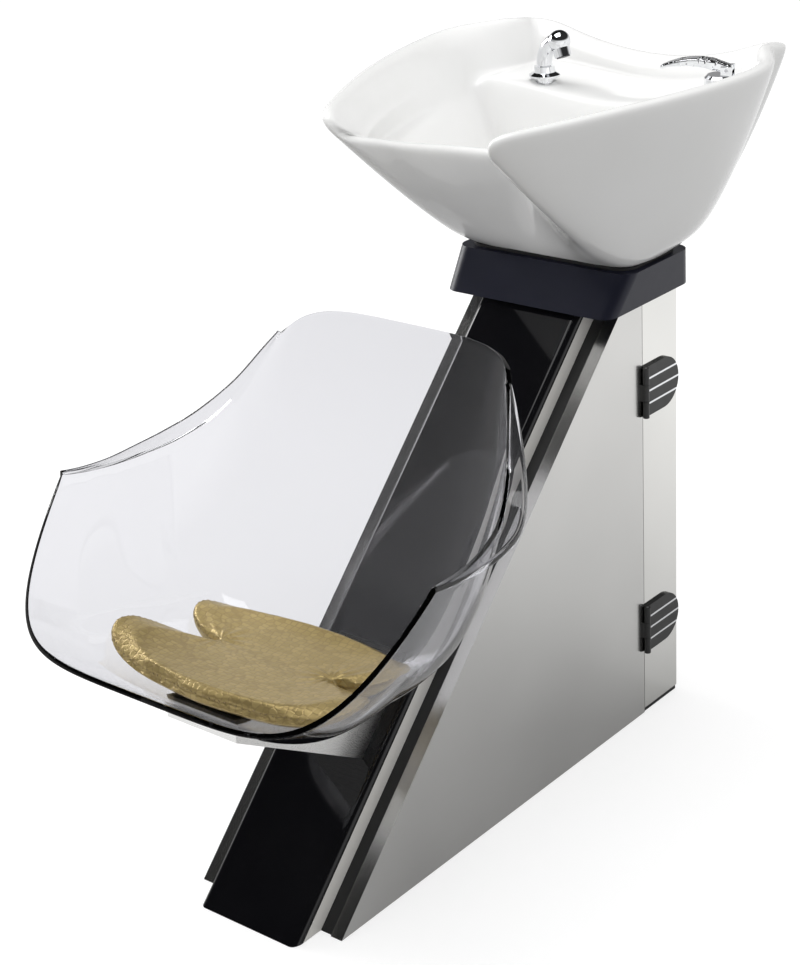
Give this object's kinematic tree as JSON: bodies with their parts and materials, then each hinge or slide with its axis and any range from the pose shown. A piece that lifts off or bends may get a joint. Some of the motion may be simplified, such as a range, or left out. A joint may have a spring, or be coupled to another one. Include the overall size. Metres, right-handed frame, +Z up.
{
  "type": "backwash unit",
  "caption": "Salon backwash unit: sloping steel pedestal with a clear bucket seat on an arm, a padded cushion, and a glazed basin with mixer, hand shower and rear service door.",
  "frame": {"origin": "middle of the four floor bolts, on the floor", "axes": "+Z up, +Y towards the basin and rear door, +X to the right seen from the seat's front"},
  "size_m": [0.66, 1.2179, 1.053],
  "materials": {
    "dark_paint": "satin black powder coat",
    "brushed_steel": "fine brushed stainless sheet",
    "polished_steel": "polished stainless sheet",
    "gloss_black": "gloss black",
    "zinc": "plain zinc-plated steel",
    "clear_acrylic": "clear cast acrylic with polished edges",
    "black_rubber": "matt",
    "gold_leather": "metallic gold, embossed scales",
    "navy_plastic": "satin navy black",
    "glazed_white": "glossy white glaze",
    "chrome": "bright chrome plating",
    "grey_plastic": "plain moulded plastic",
    "black_plastic": "satin black"
  },
  "bodies": {
    "pedestal": {"floor_plate": "dark_paint", "frame_posts": "dark_paint", "frame_rails": "dark_paint", "frame_tie": "dark_paint", "right_side_panel": "brushed_steel", "left_side_panel": "brushed_steel", "front_sheet": "dark_paint", "front_channel": "brushed_steel", "front_cover": "gloss_black", "top_plate": "dark_paint", "seat_arm": "brushed_steel", "arm_bolts": "zinc", "seat_shell": "clear_acrylic", "seat_pad": "black_rubber", "seat_screws": "zinc", "seat_cushion": "gold_leather", "collar": "navy_plastic", "bowl_gasket": "black_rubber", "bowl": "glazed_white", "drain_tail": "chrome", "waste_trap": "grey_plastic", "waste_pipe": "grey_plastic", "mixer_base": "chrome", "shower_holder": "chrome", "hinge_knuckles": "black_plastic", "hinge_pins": "zinc"},
    "door": {"rear_door": "polished_steel", "hinge_leaves": "black_plastic", "leaf_strips": "chrome"},
    "strainer": {"hair_strainer": "chrome"},
    "mixer_head": {"mixer_cap": "chrome", "lever_pin": "zinc"},
    "lever": {"mixer_lever": "chrome"},
    "handset": {"hand_shower": "chrome", "spray_face": "black_plastic"}
  },
  "joints": [
    {"name": "door_hinge", "type": "hinge", "parent": "pedestal", "child": "door", "pos_m": [0.136, 0.302, 0.35], "axis": [0, 0, -1], "range_deg": [0, 100]},
    {"name": "strainer_lift", "type": "slide", "parent": "pedestal", "child": "strainer", "axis": [0, 0, 1], "range_m": [0, 0.15]},
    {"name": "mixer_turn", "type": "hinge", "parent": "pedestal", "child": "mixer_head", "pos_m": [0.178, 0.44, 1], "axis": [0, 0, 1], "range_deg": [-45, 45]},
    {"name": "lever_lift", "type": "hinge", "parent": "mixer_head", "child": "lever", "pos_m": [0.1874, 0.44342, 1.016], "axis": [-0.342, 0.9397, 0], "range_deg": [0, 25]},
    {"name": "shower_pull", "type": "slide", "parent": "pedestal", "child": "handset", "axis": [0, 0, 1], "range_m": [0, 0.25]}
  ]
}
